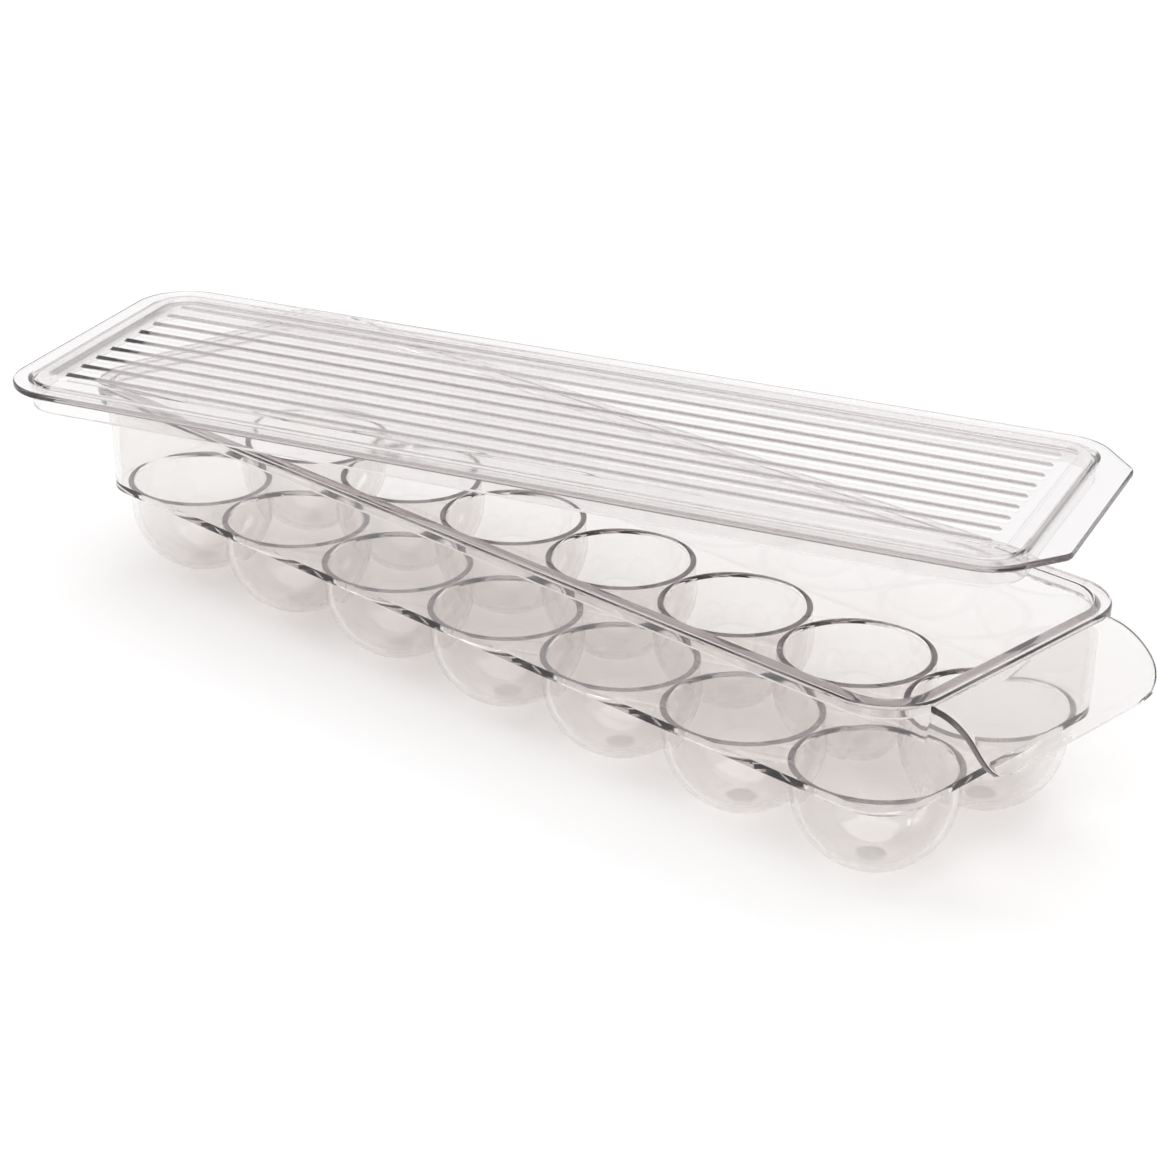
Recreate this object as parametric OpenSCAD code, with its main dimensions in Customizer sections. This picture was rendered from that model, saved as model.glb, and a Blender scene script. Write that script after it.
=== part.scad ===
// Egg keeper: a clear moulded tray with two rows of round cups and a pull handle,
// and a clear ribbed lid, shown off its seat, lying across the tray on its skirt.
// Origin: in the plane of the cup feet, under the middle of the near row of cups.
// +X runs along the rows to the handle, +Z is up.

/* [Cups] */
// Number of cups along each row
cups_long = 7; // [2:1:8]
// Diameter of a cup inside
cup_bore = 44.6; // [38:0.1:50]
// Gap between the outsides of neighbouring cups in a row
cup_gap = 0.1; // [0.1:0.1:6]
// Gap between the outsides of the two rows
row_gap = 2.8; // [0.1:0.1:12]
// Straight neck of a cup between its round part and the deck
cup_neck = 6.4; // [3:0.1:12]
// Rounding of a cup's mouth
mouth_r = 0.8; // [0.3:0.1:1.4]
// Diameter of the small flat under each cup
foot_d = 10; // [6:0.5:14]

/* [Tray] */
// Wall thickness of the tray
wall = 2; // [1.2:0.1:3]
// Height of the walls from the underside of the deck to the top of the rim
wall_h = 35.6; // [30:0.1:60]
// How far the walls lean out over their height
draft = 0.8; // [0.5:0.1:3]
// Gap between the last cups and the outside of the end walls at their foot
end_gap = 0.1; // [0.1:0.1:6]
// Gap between the cups and the outside of the long walls at their foot
side_gap = 1.5; // [0.1:0.1:6]
// Plan radius of the rim's corners
corner_r = 19; // [16:0.5:22]
// How far the rim stands out past the wall
rim_out = 3.6; // [2:0.1:6]
// Height of the rim
rim_h = 4; // [2.5:0.1:6]
// Rounding of the rim's edges
rim_round = 0.9; // [0.3:0.1:1.1]

/* [Handle] */
// Width of the pull handle
handle_w = 82; // [50:1:90]
// Radius of the handle's curved outer face
handle_r = 20.9; // [14:0.1:26]
// Angle that the curve turns through, from level
handle_sweep = 79; // [60:1:88]
// Thickness of the handle
handle_t = 2.2; // [1.6:0.1:3]
// Rounding of the handle's lower corners
handle_corner = 10; // [4:0.5:14]
// Step from the top of the rim down to the handle
handle_step = 1.1; // [0.6:0.1:1.6]

/* [Lid] */
// Thickness of the lid's plate
lid_t = 2.2; // [1.6:0.1:3.5]
// Clearance between the lid's skirt and the inside of the rim
skirt_gap = 0.6; // [0.4:0.1:1.5]
// Thickness of the skirt
skirt_t = 1.8; // [1.2:0.1:2.5]
// Depth of the skirt below the plate
skirt_h = 7; // [3:0.5:12]
// Width of the raised frame on the lid
frame_w = 5.6; // [3:0.1:8]
// Height of the raised frame above the plate
frame_h = 0.9; // [0.6:0.1:3]
// Run-out of the frame's sloped sides
frame_slope = 1.2; // [0.4:0.1:2]
// Number of ribs
ribs = 9; // [3:2:9]
// Distance between ribs
rib_pitch = 9.2; // [6:0.1:9.2]
// Width of a rib
rib_w = 2.6; // [1.5:0.1:4]
// Height of a rib
rib_h = 0.9; // [0.4:0.1:1.3]
// Space between a rib's end and the raised frame
rib_end = 5; // [2:0.5:15]
// How far the pull tab reaches past the lid's edge
tab_out = 6.5; // [4:0.5:14]
// Width of the pull tab at its end
tab_w = 78; // [50:1:90]
// Rounding of the tab's corners
tab_corner = 5; // [2:0.5:6]

/* [Lid as shown] */
// Clearance between the skirt's edge and the rim that it lies on
seat_gap = 0.3; // [0.1:0.1:1]
// Turn of the lid about the vertical, as it lies across the tray
lid_turn = 20; // [12:0.5:30]
// Shift of the lid's middle along the tray
lid_x = -27; // [-40:0.5:0]
// Shift of the lid's middle across the tray
lid_y = 20.5; // [0:0.5:30]

/* [Hidden] */
$fn = 96;
eps = 0.01;

// Cup and deck heights, from the feet up
cup_ri = cup_bore / 2;
cup_ro = cup_ri + wall;
cup_pitch = 2 * cup_ro + cup_gap;
row_pitch = 2 * cup_ro + row_gap;
cup_z = sqrt(cup_ro * cup_ro - foot_d * foot_d / 4);
deck_z = cup_z + cup_neck;
deck_top = deck_z + wall;
rim_top = deck_z + wall_h;

// Half length and half width at the wall's foot, at its top and at the rim
foot_x = (cups_long - 1) / 2 * cup_pitch + cup_ro + end_gap;
foot_y = row_pitch / 2 + cup_ro + side_gap;
rim_x = foot_x + draft + rim_out;
rim_y = foot_y + draft + rim_out;

// Inside of the rim
mouth_x = foot_x + draft - wall;
mouth_y = foot_y + draft - wall;
mouth_corner = corner_r - rim_out - wall;

// Outside of the lid's skirt and of its raised frame
skirt_x = mouth_x - skirt_gap;
skirt_y = mouth_y - skirt_gap;
skirt_corner = mouth_corner - skirt_gap;
rib_len = 2 * (skirt_x - frame_w - rib_end);

clear_plastic = [0.9, 0.89, 0.88, 0.45];
lid_plastic = [0.84, 0.86, 0.88, 0.45];

// Plan of a rectangle with rounded corners, by its half sizes
module round_plan(hx, hy, r) {
  square([2 * hx, 2 * (hy - r)], center = true);
  square([2 * (hx - r), 2 * hy], center = true);
  for (sx = [-1, 1], sy = [-1, 1])
    translate([sx * (hx - r), sy * (hy - r)]) circle(r);
}

// Carries the profile given as a child round a rectangle with rounded corners.
// The profile's x is the distance out from the centre of the corner's arc.
module carry_round(hx, hy, r) {
  for (sx = [-1, 1], sy = [-1, 1])
    translate([sx * (hx - r), sy * (hy - r), 0])
      rotate([0, 0, sx > 0 ? (sy > 0 ? 0 : -90) : (sy > 0 ? 90 : 180)])
        rotate_extrude(angle = 90) children();
  for (s = [-1, 1]) {
    translate([0, s * (hy - r), 0]) rotate([0, 0, s * 90]) rotate([90, 0, 0])
      linear_extrude(height = 2 * (hx - r), center = true) children();
    translate([s * (hx - r), 0, 0]) rotate([0, 0, s > 0 ? 0 : 180]) rotate([90, 0, 0])
      linear_extrude(height = 2 * (hy - r), center = true) children();
  }
}

// A box outline with all four corners rounded, from its lower left corner
module round_bar(w, h, r) {
  translate([r, 0]) square([w - 2 * r, h]);
  translate([0, r]) square([w, h - 2 * r]);
  for (x = [r, w - r], y = [r, h - r]) translate([x, y]) circle(r, $fn = 32);
}

// Section of the leaning wall with the rim on top of it
module wall_section() {
  foot_r = corner_r - rim_out - draft;
  top_r = foot_r + draft;
  polygon([[foot_r - wall, deck_z], [foot_r, deck_z],
    [top_r, rim_top - rim_round], [top_r - wall, rim_top - rim_round]]);
  translate([top_r - wall, rim_top - rim_h]) round_bar(wall + rim_out, rim_h, rim_round);
}

// Places the children at each cup
module at_cups() {
  for (i = [0 : cups_long - 1], s = [-1, 1])
    translate([(i - (cups_long - 1) / 2) * cup_pitch, s * row_pitch / 2, 0]) children();
}

// Outside of one cup, standing on its small flat foot
module cup_outside() {
  rotate_extrude() {
    intersection() {
      translate([0, cup_z]) circle(cup_ro);
      square([cup_ro, cup_z]);
    }
    translate([0, cup_z]) square([cup_ro, cup_neck + eps]);
  }
}

// Hollow of one cup with its rounded mouth
module cup_hollow() {
  rotate_extrude() {
    intersection() {
      translate([0, cup_z]) circle(cup_ri);
      square([cup_ri, cup_z]);
    }
    translate([0, cup_z]) square([cup_ri, cup_neck + wall + eps]);
    difference() {
      translate([cup_ri - eps, deck_top - mouth_r]) square([mouth_r + eps, mouth_r + eps]);
      translate([cup_ri + mouth_r, deck_top - mouth_r]) circle(mouth_r, $fn = 32);
    }
  }
}

// Curved pull handle on the rim's +X side, with its lower corners rounded
module handle() {
  top_z = rim_top - handle_step;
  tip_z = top_z - handle_r * (1 - cos(handle_sweep));
  intersection() {
    translate([rim_x, 0, top_z - handle_r]) rotate([90, 0, 0])
      linear_extrude(height = handle_w, center = true) {
        intersection() {
          difference() {
            circle(handle_r);
            circle(handle_r - handle_t);
          }
          polygon([[0, 0], 2 * handle_r * [sin(handle_sweep), cos(handle_sweep)],
            [0, 2 * handle_r]]);
        }
        translate([-rim_out, handle_r - handle_t]) square([rim_out + eps, handle_t]);
      }
    translate([0, 0, tip_z - handle_t]) rotate([90, 0, 90])
      linear_extrude(height = 2 * rim_x) {
        translate([0, handle_corner + handle_t])
          translate([-handle_w / 2, 0]) square([handle_w, wall_h]);
        translate([handle_corner - handle_w / 2, 0])
          square([handle_w - 2 * handle_corner, wall_h]);
        for (s = [-1, 1]) translate([s * (handle_w / 2 - handle_corner), handle_corner + handle_t])
          circle(handle_corner);
      }
  }
}

module tray() {
  color(clear_plastic) translate([0, row_pitch / 2, 0]) {
    difference() {
      union() {
        at_cups() cup_outside();
        translate([0, 0, deck_z]) linear_extrude(height = wall)
          round_plan(foot_x - wall / 2, foot_y - wall / 2, corner_r - rim_out - draft - wall / 2);
      }
      at_cups() cup_hollow();
    }
    carry_round(rim_x, rim_y, corner_r) wall_section();
    handle();
  }
}

// One rib lying along the lid, with round ends
module rib() {
  intersection() {
    translate([0, 0, lid_t - rib_w / 2 + rib_h]) union() {
      rotate([0, 90, 0]) cylinder(h = rib_len - rib_w, d = rib_w, center = true, $fn = 32);
      for (s = [-1, 1]) translate([s * (rib_len - rib_w) / 2, 0, 0]) sphere(d = rib_w, $fn = 32);
    }
    translate([-rib_len, -rib_w, lid_t / 2]) cube([2 * rib_len, 2 * rib_w, lid_t]);
  }
}

// Section of the raised frame, above the skirt
module frame_section() {
  polygon([[skirt_corner - frame_w - frame_slope, lid_t - eps],
    [skirt_corner + frame_slope, lid_t - eps],
    [skirt_corner, lid_t + frame_h], [skirt_corner - frame_w, lid_t + frame_h]]);
}

// Section of the skirt that drops inside the tray's rim
module skirt_section() {
  translate([skirt_corner - skirt_t, -skirt_h])
    round_bar(skirt_t, skirt_h + lid_t / 2, skirt_t / 2 - eps);
}

// Plan of the pull tab. Its slanted sides run off the lid's rounded corners
// and into the tab's own, as the line that touches both circles.
module tab_plan() {
  lid_centre = [rim_x - corner_r, rim_y - corner_r];
  tab_centre = [rim_x + tab_out - tab_corner, tab_w / 2 - tab_corner];
  apart = tab_centre - lid_centre;
  slant = atan2(apart[1], apart[0]) + acos((corner_r - tab_corner) / norm(apart));
  out = [cos(slant), sin(slant)];
  side = [lid_centre + (corner_r - eps) * out, tab_centre + (tab_corner - eps) * out,
    tab_centre + [tab_corner, 0]];
  polygon(concat(side, [for (i = [2 : -1 : 0]) [side[i][0], -side[i][1]]]));
  for (s = [-1, 1]) translate([tab_centre[0], s * tab_centre[1]]) circle(tab_corner);
}

// The lid in its own place, its plate's underside at z = 0
module lid_in_place() {
  linear_extrude(height = lid_t) {
    round_plan(rim_x, rim_y, corner_r);
    tab_plan();
  }
  carry_round(skirt_x, skirt_y, skirt_corner) skirt_section();
  carry_round(skirt_x, skirt_y, skirt_corner) frame_section();
  for (i = [0 : ribs - 1]) translate([0, (i - (ribs - 1) / 2) * rib_pitch, 0]) rib();
}

module lid() {
  color(lid_plastic)
    translate([lid_x, row_pitch / 2 + lid_y, rim_top + seat_gap + skirt_h])
      rotate([0, 0, lid_turn]) lid_in_place();
}

tray();
lid();
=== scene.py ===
"""Dresses the egg keeper: a clear moulded tray with round cups, and its ribbed lid."""
from math import acos, atan2, cos, pi, radians, sin, sqrt, tan

import bmesh
import bpy
from bpy.props import FloatProperty, FloatVectorProperty, IntProperty, PointerProperty
from mathutils import Matrix, Vector


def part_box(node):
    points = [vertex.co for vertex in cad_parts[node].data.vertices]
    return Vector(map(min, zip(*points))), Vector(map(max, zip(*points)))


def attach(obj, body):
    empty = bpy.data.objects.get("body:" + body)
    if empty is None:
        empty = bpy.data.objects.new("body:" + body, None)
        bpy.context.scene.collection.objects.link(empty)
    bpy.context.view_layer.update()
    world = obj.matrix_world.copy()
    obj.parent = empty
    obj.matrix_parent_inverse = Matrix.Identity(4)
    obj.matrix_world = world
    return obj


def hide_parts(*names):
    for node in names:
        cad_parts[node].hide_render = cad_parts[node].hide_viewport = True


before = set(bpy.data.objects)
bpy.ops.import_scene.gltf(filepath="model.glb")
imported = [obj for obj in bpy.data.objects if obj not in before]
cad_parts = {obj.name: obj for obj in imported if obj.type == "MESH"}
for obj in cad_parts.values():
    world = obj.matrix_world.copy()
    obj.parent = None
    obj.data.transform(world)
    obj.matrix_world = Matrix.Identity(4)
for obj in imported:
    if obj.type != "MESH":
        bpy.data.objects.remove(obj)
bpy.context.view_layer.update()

bl_info = {
    "name": "Egg keeper",
    "version": (1, 0, 0),
    "blender": (4, 5, 0),
    "location": "3D View > Sidebar > Egg keeper",
    "description": "Makes the clear tray, its ribbed lid and a plain studio",
    "category": "Object",
}

TRAY_LOW, TRAY_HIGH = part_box("tray")
LID_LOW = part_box("lid")[0]

# The tray is the same on both sides of this plane, and its end without a handle is a rim
MIDDLE = (TRAY_LOW[1] + TRAY_HIGH[1]) / 2
RIM_X = -TRAY_LOW[0]
RIM_Y = (TRAY_HIGH[1] - TRAY_LOW[1]) / 2
RIM_TOP = TRAY_HIGH[2]

# How finely each curve is divided
CUP_SEGMENTS = 64
BOWL_RINGS = 16
CORNER_STEPS = 16
ROUND_STEPS = 5
RIB_STEPS = 8
RIB_END_STEPS = 5
HANDLE_SECTIONS = 18
HANDLE_EDGE_STEPS = 3
# Faces that meet at more than this angle keep a sharp edge between them
SHARP_FROM = radians(38)

# The straight sides keep a narrow strip at each end, so that the corners shade cleanly
SIDE_STRIP = 0.0006
# A length too small to matter
TINY = 1e-6
# The end cups' mouths stop this far short of the end walls, which they would otherwise touch
MOUTH_GAP = 0.00006
# The handle grows out of faces whose middles lie less than this behind the rim's outer face,
# and more than this inside the handle's sides
ROOT_MARGIN = 0.0006
# The handle's edges are rounded from this far out of the rim, where they turn this sharply
HANDLE_START = 0.001
EASE_FROM = radians(50)
# The tab's round corners need cuts in the lid's end, at these shares of the way from where
# they begin to the lid's own corners
TAB_CUTS = (0, 0.35, 0.7)


def length(name, description, default):
    """A property that holds a length in metres."""
    return FloatProperty(name=name, description=description, default=default,
                         min=0, unit="LENGTH", precision=5)


def linear(hex_colour):
    """Turns an sRGB colour such as "F2EFED" into linear red, green, blue and alpha."""
    parts = [int(hex_colour[i:i + 2], 16) / 255 for i in (0, 2, 4)]
    return [p / 12.92 if p <= 0.04045 else ((p + 0.055) / 1.055) ** 2.4 for p in parts] + [1]


def colour(name, description, hex_colour):
    """A property that holds a colour."""
    return FloatVectorProperty(name=name, description=description, subtype="COLOR",
                               size=4, min=0, max=1, default=linear(hex_colour))


class EggKeeperTraySizes(bpy.types.PropertyGroup):
    cups_long: IntProperty(name="Cups in a row", description="Number of cups in each row",
                           default=7, min=1)
    cup_bore: length("Cup bore", "Diameter of a cup inside", 0.0446)
    cup_pitch: length("Cup pitch", "Distance between neighbouring cups in a row", 0.0487)
    neck: length("Neck", "Straight part of a cup between its bowl and the deck", 0.0064)
    mouth: length("Mouth rounding", "Rounding of a cup's mouth", 0.0008)
    foot: length("Foot", "Diameter of the small flat under a cup", 0.010)
    wall: length("Wall", "Thickness of the walls and the deck", 0.002)
    draft: length("Draft", "How far the walls lean out over their height", 0.0008)
    corner: length("Corner", "Radius of the rim's corners, seen from above", 0.019)
    rim_out: length("Rim width", "How far the rim stands out past the wall", 0.0036)
    rim_height: length("Rim height", "Height of the rim", 0.004)
    rim_round: length("Rim rounding", "Rounding of the rim's edges", 0.0009)
    under_rim: length("Fillet", "Fillet between the wall and the rim", 0.0006)
    tint: colour("Tint", "What the clear plastic lets through", "FAF9F8")


class EggKeeperHandleSizes(bpy.types.PropertyGroup):
    width: length("Width", "Width of the pull handle", 0.082)
    radius: length("Radius", "Radius of its curved outer face", 0.0209)
    sweep: FloatProperty(name="Sweep", description="Angle that the curve turns through",
                         default=radians(79), subtype="ANGLE")
    thickness: length("Thickness", "Thickness of the handle", 0.0022)
    corner: length("Corner", "Rounding of its lower corners", 0.010)
    step: length("Step", "Step from the top of the rim down to the handle", 0.0011)
    edge: length("Edge", "Rounding of its edges", 0.0006)


class EggKeeperLidSizes(bpy.types.PropertyGroup):
    plate: length("Plate", "Thickness of the plate", 0.0022)
    edge: length("Edge", "Rounding of the plate's edge", 0.0007)
    skirt_out: length("Skirt inset", "From the plate's edge to the outside of the skirt", 0.0062)
    skirt_thick: length("Skirt thickness", "Thickness of the skirt", 0.0018)
    skirt_deep: length("Skirt depth", "Depth of the skirt below the plate", 0.007)
    frame_width: length("Frame width", "Width of the raised frame", 0.0056)
    frame_height: length("Frame height", "Height of the raised frame", 0.0009)
    frame_slope: length("Frame slope", "Run-out of the frame's sloped sides", 0.0012)
    fillet: length("Fillet", "Small roundings on the frame and the skirt", 0.0003)
    ribs: IntProperty(name="Ribs", description="Number of ribs", default=9, min=1)
    rib_pitch: length("Rib pitch", "Distance between ribs", 0.0092)
    rib_width: length("Rib width", "Width of a rib", 0.0026)
    rib_height: length("Rib height", "Height of a rib", 0.0009)
    rib_end: length("Rib end", "Space between a rib's end and the raised frame", 0.005)
    tab_out: length("Tab", "How far the pull tab reaches past the plate's edge", 0.0065)
    tab_width: length("Tab width", "Width of the pull tab at its end", 0.078)
    tab_corner: length("Tab corner", "Rounding of the pull tab's corners", 0.005)
    turn: FloatProperty(name="Turn", description="Turn of the lid, as it lies across the tray",
                        default=radians(20), subtype="ANGLE")
    along: FloatProperty(name="Shift along", description="Shift of the lid along the tray",
                         default=-0.027, unit="LENGTH")
    across: FloatProperty(name="Shift across", description="Shift of the lid across the tray",
                          default=0.0205, unit="LENGTH")
    tint: colour("Tint", "What the clear plastic lets through", "F8F7F7")


class EggKeeperStudio(bpy.types.PropertyGroup):
    azimuth: FloatProperty(name="Azimuth", description="Direction that the camera stands in",
                           default=radians(43.337), subtype="ANGLE")
    elevation: FloatProperty(name="Elevation", description="Height of the camera, as an angle",
                             default=radians(24.371), subtype="ANGLE")
    roll: FloatProperty(name="Roll", description="Roll of the camera",
                        default=radians(0.873), subtype="ANGLE")
    lens: FloatProperty(name="Lens", description="Focal length in millimetres on a 36 mm sensor",
                        default=96.67)
    floor: colour("Floor", "Colour of the floor", "FAFAFA")


# Sections and sweeps

def rounded(corners):
    """Points of an open section from its corners, each (distance out, height, rounding)."""
    points = [Vector((out, 0, up)) for out, up, _ in corners]
    path = [points[0]]
    for before, here, after, (_, _, radius) in zip(points, points[1:], points[2:], corners[1:]):
        if radius == 0:
            path.append(here)
            continue
        back, on = (before - here).normalized(), (after - here).normalized()
        half = back.angle(on) / 2
        centre = here + (back + on).normalized() * radius / sin(half)
        start = here + back * radius / tan(half) - centre
        stop = here + on * radius / tan(half) - centre
        for step in range(ROUND_STEPS + 1):
            path.append(centre + start.slerp(stop, step / ROUND_STEPS).normalized() * radius)
    return path + [points[-1]]


def carry_round(bm, section, half_x, half_y, at=(0, 0, 0), steps=CORNER_STEPS, end_cuts=()):
    """Carries a section round four corners whose centres lie at half_x and half_y.

    end_cuts are the places along Y where the side at +X is cut as well."""
    at = Vector(at)
    row = [bm.verts.new(at + Vector((half_x, half_y, 0)) + point) for point in section]
    geom = row + [bm.edges.new(pair) for pair in zip(row, row[1:])]
    corners = ((1, 1), (-1, 1), (-1, -1), (1, -1))
    sides = ((-2 * half_x, 0), (0, -2 * half_y), (2 * half_x, 0), (0, 2 * half_y))
    for (sx, sy), (along_x, along_y) in zip(corners, sides):
        turned = bmesh.ops.spin(bm, geom=geom, cent=at + Vector((sx * half_x, sy * half_y, 0)),
                                axis=(0, 0, 1), angle=pi / 2, steps=steps)
        geom = turned["geom_last"]
        # One of the two is always 0
        reach = abs(along_x + along_y)
        if reach == 0:
            continue
        stops = [SIDE_STRIP, reach - SIDE_STRIP, reach]
        if along_y > 0:
            stops += [half_y + cut for cut in end_cuts]
        way = Vector((along_x, along_y, 0)) / reach
        done = 0
        for stop in sorted(stops):
            edges = [g for g in geom if isinstance(g, bmesh.types.BMEdge)]
            drawn = bmesh.ops.extrude_edge_only(bm, edges=edges)["geom"]
            verts = {g for g in drawn if isinstance(g, bmesh.types.BMVert)}
            bmesh.ops.translate(bm, verts=list(verts), vec=way * (stop - done))
            geom = list(verts) + [g for g in drawn if isinstance(g, bmesh.types.BMEdge)
                                  and verts.issuperset(g.verts)]
            done = stop
    weld(bm)


def weld(bm):
    """Joins points that lie in one place."""
    bmesh.ops.remove_doubles(bm, verts=bm.verts, dist=2 * TINY)


def fill_flat(bm, height):
    """Fills the flat region between all open edges at one height, round the holes in it.

    The fill takes points nearer than about 0.03 for one, so it is done in millimetres."""
    edges = [e for e in bm.edges if e.is_boundary
             and all(abs(v.co.z - height) < TINY for v in e.verts)]
    bmesh.ops.scale(bm, vec=(1000, 1000, 1000), verts=bm.verts)
    bmesh.ops.triangle_fill(bm, edges=edges, use_beauty=True, use_dissolve=False)
    bmesh.ops.scale(bm, vec=(0.001, 0.001, 0.001), verts=bm.verts)


def finish_piece(bm, name, body, node, material):
    """Turns a closed bmesh into a smooth piece that stands for a CAD node."""
    weld(bm)
    bmesh.ops.dissolve_degenerate(bm, edges=bm.edges, dist=TINY / 10)
    bmesh.ops.recalc_face_normals(bm, faces=bm.faces)
    open_edges = sum(not e.is_manifold for e in bm.edges)
    if open_edges:
        raise RuntimeError("%s has %d open edges" % (name, open_edges))
    mesh = bpy.data.meshes.new(name)
    bm.to_mesh(mesh)
    bm.free()
    mesh.shade_smooth()
    mesh.set_sharp_from_angle(angle=SHARP_FROM)
    piece = bpy.data.objects.new(name, mesh)
    bpy.context.scene.collection.objects.link(piece)
    # Large flat faces keep their own normals, so that only the roundings bend light
    even = piece.modifiers.new("Even shading", "WEIGHTED_NORMAL")
    even.mode = "FACE_AREA"
    even.weight = 100
    even.keep_sharp = True
    mesh.materials.append(material)
    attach(piece, body)
    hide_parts(node)


# Materials

# Colour of light that has come through one thin wall, and through a great depth of plastic
WALL_TINT = "F4F2F1"
DEPTH_TINT = "B7AAAB"
# Density of the deep colour, per metre
DEPTH_DENSITY = 32
# Height of the ripple that uneven cooling leaves on a moulded face
RIPPLE_HIGH = 0.00006
# Size of the hazy patches that wiping leaves
HAZE_MM = 24


def add_node(tree, kind, settings=None, links=None):
    """Adds a node with its settings, and links named inputs to other nodes' outputs."""
    node = tree.nodes.new(kind)
    for key, value in (settings or {}).items():
        if key in node.inputs:
            node.inputs[key].default_value = value
        else:
            setattr(node, key, value)
    for key, (source, output) in (links or {}).items():
        tree.links.new(source.outputs[output], node.inputs[key])
    return node


def clear_polystyrene(name, tint, ripple_mm):
    """Clear general-purpose polystyrene, injection-moulded in a polished steel mould.

    It is hard and bright as glass, with sharp highlights along every edge. The melt cools
    unevenly, so broad faces ripple very slightly, and handling leaves them a little hazy in
    patches. It bends light strongly, so edges and thick corners show as grey lines."""
    material = bpy.data.materials.new(name)
    material.use_nodes = True
    tree = material.node_tree
    tree.nodes.clear()
    place = add_node(tree, "ShaderNodeTexCoord")
    ripple = add_node(tree, "ShaderNodeTexNoise",
                      {"Scale": 1000 / ripple_mm, "Detail": 1.0, "Roughness": 0.4},
                      {"Vector": (place, "Object")})
    bump = add_node(tree, "ShaderNodeBump", {"Strength": 0.5, "Distance": RIPPLE_HIGH},
                    {"Height": (ripple, "Fac")})
    haze = add_node(tree, "ShaderNodeTexNoise", {"Scale": 1000 / HAZE_MM, "Detail": 3.0},
                    {"Vector": (place, "Object")})
    # From polished to slightly hazy
    rough = add_node(tree, "ShaderNodeMapRange",
                     {"From Min": 0.35, "From Max": 0.75, "To Min": 0.012, "To Max": 0.05},
                     {"Value": (haze, "Fac")})
    plastic = add_node(tree, "ShaderNodeBsdfPrincipled",
                       {"Base Color": tint, "IOR": 1.59, "Transmission Weight": 1.0},
                       {"Normal": (bump, "Normal"), "Roughness": (rough, "Result")})
    # Lamps shine through the thin walls, which only tint their light
    light_path = add_node(tree, "ShaderNodeLightPath")
    passed = add_node(tree, "ShaderNodeBsdfTransparent", {"Color": linear(WALL_TINT)})
    mix = add_node(tree, "ShaderNodeMixShader", None, {0: (light_path, "Is Shadow Ray")})
    tree.links.new(plastic.outputs["BSDF"], mix.inputs[1])
    tree.links.new(passed.outputs["BSDF"], mix.inputs[2])
    # A cup's side seen edge-on is nearly 20 mm of plastic, so it turns lilac-grey there
    depth = add_node(tree, "ShaderNodeVolumeAbsorption",
                     {"Color": linear(DEPTH_TINT), "Density": DEPTH_DENSITY})
    add_node(tree, "ShaderNodeOutputMaterial", None,
             {"Surface": (mix, "Shader"), "Volume": (depth, "Volume")})
    return material


def matte_floor(tint):
    """Matte white paper, rolled out flat. It has no shine and shows only soft shadows."""
    material = bpy.data.materials.new("matte_paper")
    material.use_nodes = True
    tree = material.node_tree
    tree.nodes.clear()
    paper = add_node(tree, "ShaderNodeBsdfDiffuse", {"Color": tint})
    add_node(tree, "ShaderNodeOutputMaterial", None, {"Surface": (paper, "BSDF")})
    return material


# The tray

def bowl_centre(sizes):
    """Height of the centre of a cup's round bowl above its foot."""
    outside = sizes.cup_bore / 2 + sizes.wall
    return sqrt(outside ** 2 - (sizes.foot / 2) ** 2)


def add_cup(bm, sizes, x, y, wall_inside):
    """One cup: the bowl inside with its rounded mouth, and the bowl outside on its foot."""
    inside = sizes.cup_bore / 2
    outside = inside + sizes.wall
    centre_z = bowl_centre(sizes)
    deck_z = centre_z + sizes.neck
    deck_top = deck_z + sizes.wall
    low = -pi / 2
    bowl = [Vector((inside * cos(a), 0, centre_z + inside * sin(a)))
            for a in (low + pi / 2 * i / BOWL_RINGS for i in range(BOWL_RINGS + 1))]
    mouth_z = deck_top - sizes.mouth
    lip = [Vector((inside + sizes.mouth * (1 - cos(a)), 0, mouth_z + sizes.mouth * sin(a)))
           for a in (pi / 2 * i / ROUND_STEPS for i in range(ROUND_STEPS + 1))]
    foot_angle = -acos(sizes.foot / 2 / outside)
    belly = [Vector((outside * cos(a), 0, centre_z + outside * sin(a)))
             for a in (foot_angle * (1 - i / BOWL_RINGS) for i in range(BOWL_RINGS + 1))]
    shell = [Vector((0, 0, 0))] + belly + [Vector((outside, 0, deck_z))]
    for profile in (bowl + lip, shell):
        row = [bm.verts.new(Vector((x, y, 0)) + point) for point in profile]
        edges = [bm.edges.new(pair) for pair in zip(row, row[1:])]
        bmesh.ops.spin(bm, geom=row + edges, cent=(x, y, 0), axis=(0, 0, 1),
                       angle=2 * pi, steps=CUP_SEGMENTS, use_merge=True)
    # The end cups' mouths are flattened where the end walls stand
    for vert in bm.verts:
        if vert.co.z > mouth_z - TINY and abs(vert.co.x) > wall_inside:
            vert.co.x = wall_inside if vert.co.x > 0 else -wall_inside


def wall_corners(sizes, step):
    """Corners of the section from the deck up inside, over the rim and down outside."""
    deck_z = bowl_centre(sizes) + sizes.neck
    deck_top = deck_z + sizes.wall
    top_out = sizes.corner - sizes.rim_out
    foot_out = top_out - sizes.draft
    foot_in = foot_out - sizes.wall + sizes.draft * sizes.wall / (RIM_TOP - deck_z)
    return [
        (foot_in, deck_top, 0),
        (top_out - sizes.wall, RIM_TOP, sizes.rim_round),
        (sizes.corner, RIM_TOP, sizes.rim_round),
        (sizes.corner, RIM_TOP - step, 0),
        (sizes.corner, RIM_TOP - sizes.rim_height, sizes.rim_round),
        (top_out, RIM_TOP - sizes.rim_height, sizes.under_rim),
        (foot_out, deck_z, 0),
    ]


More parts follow.
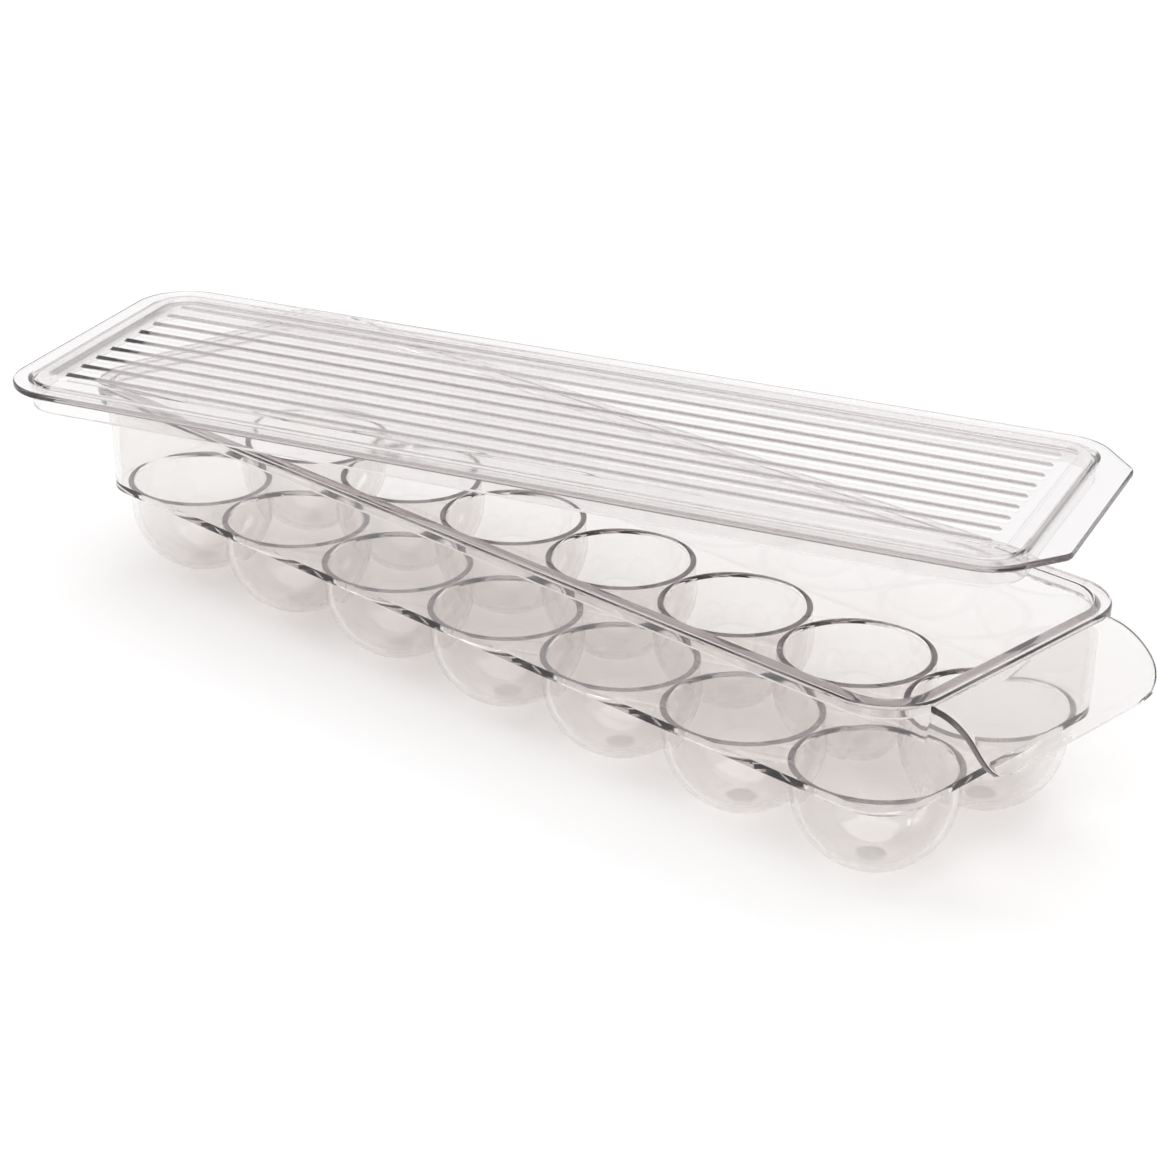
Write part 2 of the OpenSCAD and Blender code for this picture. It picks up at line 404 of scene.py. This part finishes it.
def add_handle(bm, handle, rim_height, rim_round):
    """Draws the pull handle out of the rim's face at +X, section by section, along its curve."""
    top_z = RIM_TOP - handle.step
    axis_z = top_z - handle.radius
    inner = handle.radius - handle.thickness
    root_low = RIM_TOP - rim_height + rim_round
    half = handle.width / 2

    def in_root(face):
        """True for the faces of the rim that the handle grows out of."""
        centre = face.calc_center_median()
        heights = [v.co.z for v in face.verts]
        return (centre.x > RIM_X - ROOT_MARGIN and abs(centre.y) < half - ROOT_MARGIN
                and root_low - 10 * TINY < min(heights) and max(heights) < top_z + 10 * TINY)

    tip_z = axis_z + handle.radius * cos(handle.sweep)
    faces = [f for f in bm.faces if in_root(f)]
    was_half = max(abs(v.co.y) for f in faces for v in f.verts)
    for i in range(1, HANDLE_SECTIONS + 1):
        angle = handle.sweep * (i / HANDLE_SECTIONS)
        out_z = axis_z + handle.radius * cos(angle)
        # The lower corners are round, so the last sections narrow
        up = max(0, handle.corner - (out_z - tip_z))
        now_half = half - handle.corner + sqrt(handle.corner ** 2 - up ** 2)
        drawn = bmesh.ops.extrude_face_region(bm, geom=faces)["geom"]
        bmesh.ops.delete(bm, geom=[f for f in faces if f.is_valid], context="FACES")
        faces = [g for g in drawn if isinstance(g, bmesh.types.BMFace)]
        for vert in {v for f in faces for v in f.verts}:
            away = sqrt((vert.co.x - RIM_X) ** 2 + (vert.co.z - axis_z) ** 2)
            radius = handle.radius if away > (handle.radius + inner) / 2 else inner
            vert.co.x = RIM_X + radius * sin(angle)
            vert.co.z = axis_z + radius * cos(angle)
            vert.co.y *= now_half / was_half
        was_half = now_half
    ease_handle(bm, handle)


def ease_handle(bm, handle):
    """Rounds the free edges of the handle, as the mould does."""
    edges = [e for e in bm.edges
             if all(v.co.x > RIM_X + HANDLE_START for v in e.verts)
             and e.is_manifold and e.calc_face_angle() > EASE_FROM]
    bmesh.ops.bevel(bm, geom=edges, offset=handle.edge, offset_type="OFFSET",
                    segments=HANDLE_EDGE_STEPS, profile=0.5, affect="EDGES", material=-1,
                    clamp_overlap=True)


class EGGKEEPER_OT_tray(bpy.types.Operator):
    """Makes the tray with its cups, leaning walls, rim and pull handle"""
    bl_idname = "egg_keeper.tray"
    bl_label = "Tray"

    def execute(self, context):
        sizes = context.scene.egg_keeper_tray
        handle = context.scene.egg_keeper_handle
        corners = wall_corners(sizes, handle.step)
        foot_in, deck_top, _ = corners[0]
        _, deck_underside, _ = corners[-1]
        centre_x, centre_y = RIM_X - sizes.corner, RIM_Y - sizes.corner
        wall_inside = centre_x + foot_in - MOUTH_GAP
        bm = bmesh.new()
        # The near row stands on the origin, so both rows lie MIDDLE away from the middle plane
        for i in range(sizes.cups_long):
            for side in (-1, 1):
                x = (i - (sizes.cups_long - 1) / 2) * sizes.cup_pitch
                add_cup(bm, sizes, x, side * MIDDLE, wall_inside)
        carry_round(bm, rounded(corners), centre_x, centre_y)
        add_handle(bm, handle, sizes.rim_height, sizes.rim_round)
        weld(bm)
        fill_flat(bm, deck_top)
        fill_flat(bm, deck_underside)
        bmesh.ops.translate(bm, verts=bm.verts, vec=(0, MIDDLE, 0))
        material = clear_polystyrene("clear_polystyrene_tray", sizes.tint, ripple_mm=45)
        finish_piece(bm, "clear_tray", "tray", "tray", material)
        return {"FINISHED"}


# The lid

def lid_corners(lid, corner):
    """Corners of the section from the top inside the frame, round the edge, to the underside."""
    skirt = corner - lid.skirt_out
    top = lid.plate + lid.frame_height
    return [
        (skirt - lid.frame_width - lid.frame_slope, lid.plate, 0),
        (skirt - lid.frame_width, top, lid.fillet),
        (skirt, top, lid.fillet),
        (skirt + lid.frame_slope, lid.plate, lid.fillet),
        (corner, lid.plate, lid.edge),
        (corner, 0, lid.edge),
        (skirt, 0, lid.fillet),
        (skirt, -lid.skirt_deep, lid.fillet * 2),
        (skirt - lid.skirt_thick, -lid.skirt_deep, lid.fillet * 2),
        (skirt - lid.skirt_thick, 0, 0),
    ]


def draw_out_tab(bm, lid, corner):
    """Draws the plate's edge at +X out into the pull tab.

    The tab's slanted sides are the lines that touch both the lid's and the tab's corners."""
    lid_centre = Vector((RIM_X - corner, RIM_Y - corner))
    tab_centre = Vector((RIM_X + lid.tab_out - lid.tab_corner, lid.tab_width / 2 - lid.tab_corner))
    apart = tab_centre - lid_centre
    slant = atan2(apart.y, apart.x) + acos((corner - lid.tab_corner) / apart.length)
    out = Vector((cos(slant), sin(slant)))
    leaves, meets = lid_centre + corner * out, tab_centre + lid.tab_corner * out
    for vert in bm.verts:
        # Only the plate's edge moves
        near = Vector((max(-lid_centre.x, min(lid_centre.x, vert.co.x)),
                       max(-lid_centre.y, min(lid_centre.y, vert.co.y))))
        away = vert.co.xy - near
        if away.length < corner - 2 * lid.edge or vert.co.x < lid_centre.x:
            continue
        edge = near + away.normalized() * corner
        y = abs(edge.y)
        if y >= leaves.y:
            continue
        if y <= tab_centre.y:
            end = tab_centre.x + lid.tab_corner
        elif y <= meets.y:
            end = tab_centre.x + sqrt(lid.tab_corner ** 2 - (y - tab_centre.y) ** 2)
        else:
            end = meets.x + (leaves.x - meets.x) * (y - meets.y) / (leaves.y - meets.y)
        vert.co.x += max(0, end - edge.x)


def add_ribs(bm, lid, corner):
    """Low ribs with round tops, filleted feet and round ends, side by side along the plate."""
    half = lid.rib_width / 2
    section = []
    for i in range(RIB_STEPS + 1):
        share = i / RIB_STEPS
        height = lid.rib_height * (1 - cos(pi * share)) / 2
        section.append(Vector((half * (1 - share), 0, lid.plate + height)))
    skirt_x = RIM_X - lid.skirt_out
    reach = skirt_x - lid.frame_width - lid.rib_end - half
    for i in range(lid.ribs):
        y = (i - (lid.ribs - 1) / 2) * lid.rib_pitch
        carry_round(bm, section, reach, 0, at=(0, y, 0), steps=RIB_END_STEPS)


class EGGKEEPER_OT_lid(bpy.types.Operator):
    """Makes the lid with its ribs, raised frame, skirt and pull tab, lying across the tray"""
    bl_idname = "egg_keeper.lid"
    bl_label = "Lid"

    def execute(self, context):
        lid = context.scene.egg_keeper_lid
        corner = context.scene.egg_keeper_tray.corner
        centre_x, centre_y = RIM_X - corner, RIM_Y - corner
        bend = lid.tab_width / 2 - lid.tab_corner
        cuts = [bend + (centre_y - bend) * share for share in TAB_CUTS]
        bm = bmesh.new()
        carry_round(bm, rounded(lid_corners(lid, corner)), centre_x, centre_y,
                    end_cuts=cuts + [-cut for cut in cuts])
        draw_out_tab(bm, lid, corner)
        add_ribs(bm, lid, corner)
        fill_flat(bm, lid.plate)
        fill_flat(bm, 0)
        turn = Matrix.Rotation(lid.turn, 3, "Z")
        bmesh.ops.rotate(bm, verts=bm.verts, cent=(0, 0, 0), matrix=turn)
        underside = LID_LOW[2] + lid.skirt_deep
        bmesh.ops.translate(bm, verts=bm.verts, vec=(lid.along, MIDDLE + lid.across, underside))
        material = clear_polystyrene("clear_polystyrene_lid", lid.tint, ripple_mm=60)
        finish_piece(bm, "clear_lid", "lid", "lid", material)
        return {"FINISHED"}


# The studio

# Half the side of the square floor
FLOOR_REACH = 15
# Each lamp's name, place, the point it faces, width, height and watts
SOFTBOXES = (
    ("overhead", (0, 0.2, 2.4), (0, 0, 0), 2.6, 2.6, 26),
    ("side", (-1.6, -0.9, 1.1), (0, 0, 0.04), 0.5, 1.3, 7),
)
# Brightness of the room, each with its height from the horizon at 0 to overhead at 1
ROOM = ((0, 1), (0.1, 1), (0.3, 0.86), (0.6, 0.66), (1, 0.75))
# Place of the camera, from the middle of the tray at the height of its feet
CAMERA_PLACE = Vector((0.6163, -0.64718, 0.43764))
SENSOR_MM = 36
# How far the camera sees
CLIP_END = 100
# Light shut in by the plastic turns back many times before it comes out of an edge
BOUNCES = 32


def add_softbox(name, place, aim, width, height, watts):
    """A soft rectangular lamp."""
    lamp = bpy.data.lights.new(name, "AREA")
    lamp.shape = "RECTANGLE"
    lamp.size = width
    lamp.size_y = height
    lamp.energy = watts
    holder = bpy.data.objects.new(name, lamp)
    holder.location = place
    holder.rotation_euler = (Vector(aim) - Vector(place)).to_track_quat("-Z", "Y").to_euler()
    bpy.context.scene.collection.objects.link(holder)


def add_world():
    """White behind the object, and in and through its plastic.

    Matte faces are lit by a pale room, which darkens overhead."""
    world = bpy.data.worlds.new("studio")
    world.use_nodes = True
    bpy.context.scene.world = world
    tree = world.node_tree
    tree.nodes.clear()
    way = add_node(tree, "ShaderNodeTexCoord")
    split = add_node(tree, "ShaderNodeSeparateXYZ", None, {"Vector": (way, "Generated")})
    ramp = add_node(tree, "ShaderNodeValToRGB", None, {"Fac": (split, "Z")})
    stops = ramp.color_ramp.elements
    for place, _ in ROOM[1:-1]:
        stops.new(place)
    for stop, (_, grey) in zip(stops, ROOM):
        stop.color = (grey, grey, grey, 1)
    room = add_node(tree, "ShaderNodeBackground", {"Strength": 1.0}, {"Color": (ramp, "Color")})
    white = add_node(tree, "ShaderNodeBackground", {"Color": (1, 1, 1, 1), "Strength": 1.0})
    light_path = add_node(tree, "ShaderNodeLightPath")
    seen = add_node(tree, "ShaderNodeMath", {"operation": "ADD"},
                    {0: (light_path, "Is Camera Ray"), 1: (light_path, "Is Glossy Ray")})
    seen_through = add_node(tree, "ShaderNodeMath", {"operation": "ADD", "use_clamp": True},
                            {0: (seen, "Value"), 1: (light_path, "Is Transmission Ray")})
    mix = add_node(tree, "ShaderNodeMixShader", None, {0: (seen_through, "Value")})
    tree.links.new(room.outputs["Background"], mix.inputs[1])
    tree.links.new(white.outputs["Background"], mix.inputs[2])
    add_node(tree, "ShaderNodeOutputWorld", None, {"Surface": (mix, "Shader")})


def add_camera(studio):
    """A camera at the photograph's angle, distance and roll."""
    data = bpy.data.cameras.new("camera")
    data.lens = studio.lens
    data.sensor_width = SENSOR_MM
    data.clip_end = CLIP_END
    turn, tilt, roll = studio.azimuth, studio.elevation, studio.roll
    back = Vector((sin(turn) * cos(tilt), -cos(turn) * cos(tilt), sin(tilt)))
    right = Vector((cos(turn), sin(turn), 0))
    up = back.cross(right)
    rolled_right = cos(roll) * right + sin(roll) * up
    rolled_up = cos(roll) * up - sin(roll) * right
    matrix = Matrix((rolled_right, rolled_up, back)).transposed().to_4x4()
    matrix.translation = CAMERA_PLACE + Vector((0, MIDDLE, 0))
    camera = bpy.data.objects.new("camera", data)
    camera.matrix_world = matrix
    bpy.context.scene.collection.objects.link(camera)
    bpy.context.scene.camera = camera


class EGGKEEPER_OT_stage(bpy.types.Operator):
    """Makes the floor, the soft lamps, the pale room and the camera"""
    bl_idname = "egg_keeper.stage"
    bl_label = "Stage"

    def execute(self, context):
        studio = context.scene.egg_keeper_studio
        bm = bmesh.new()
        bmesh.ops.create_grid(bm, x_segments=1, y_segments=1, size=FLOOR_REACH)
        mesh = bpy.data.meshes.new("floor")
        bm.to_mesh(mesh)
        bm.free()
        floor = bpy.data.objects.new("floor", mesh)
        context.scene.collection.objects.link(floor)
        mesh.materials.append(matte_floor(studio.floor))
        for softbox in SOFTBOXES:
            add_softbox(*softbox)
        add_world()
        add_camera(studio)
        cycles = context.scene.cycles
        cycles.max_bounces = BOUNCES
        cycles.transmission_bounces = BOUNCES
        cycles.glossy_bounces = BOUNCES
        cycles.transparent_max_bounces = BOUNCES
        context.scene.view_settings.view_transform = "Standard"
        return {"FINISHED"}


class EGGKEEPER_PT_panel(bpy.types.Panel):
    bl_label = "Egg keeper"
    bl_idname = "EGGKEEPER_PT_panel"
    bl_space_type = "VIEW_3D"
    bl_region_type = "UI"
    bl_category = "Egg keeper"

    def draw(self, context):
        for name in GROUPS:
            box = self.layout.box()
            group = getattr(context.scene, "egg_keeper_" + name)
            box.label(text=name.capitalize())
            for key in group.__annotations__:
                box.prop(group, key)
        for operator in OPERATORS:
            self.layout.operator(operator.bl_idname)


OPERATORS = (EGGKEEPER_OT_stage, EGGKEEPER_OT_tray, EGGKEEPER_OT_lid)
GROUPS = {"tray": EggKeeperTraySizes, "handle": EggKeeperHandleSizes,
          "lid": EggKeeperLidSizes, "studio": EggKeeperStudio}


def register():
    for name, group in GROUPS.items():
        bpy.utils.register_class(group)
        setattr(bpy.types.Scene, "egg_keeper_" + name, PointerProperty(type=group))
    for cls in OPERATORS + (EGGKEEPER_PT_panel,):
        bpy.utils.register_class(cls)


def unregister():
    for cls in reversed(OPERATORS + (EGGKEEPER_PT_panel,)):
        bpy.utils.unregister_class(cls)
    for name, group in GROUPS.items():
        delattr(bpy.types.Scene, "egg_keeper_" + name)
        bpy.utils.unregister_class(group)


def main():
    register()
    bpy.ops.egg_keeper.stage()
    bpy.ops.egg_keeper.tray()
    bpy.ops.egg_keeper.lid()


if __name__ == "__main__":
    main()
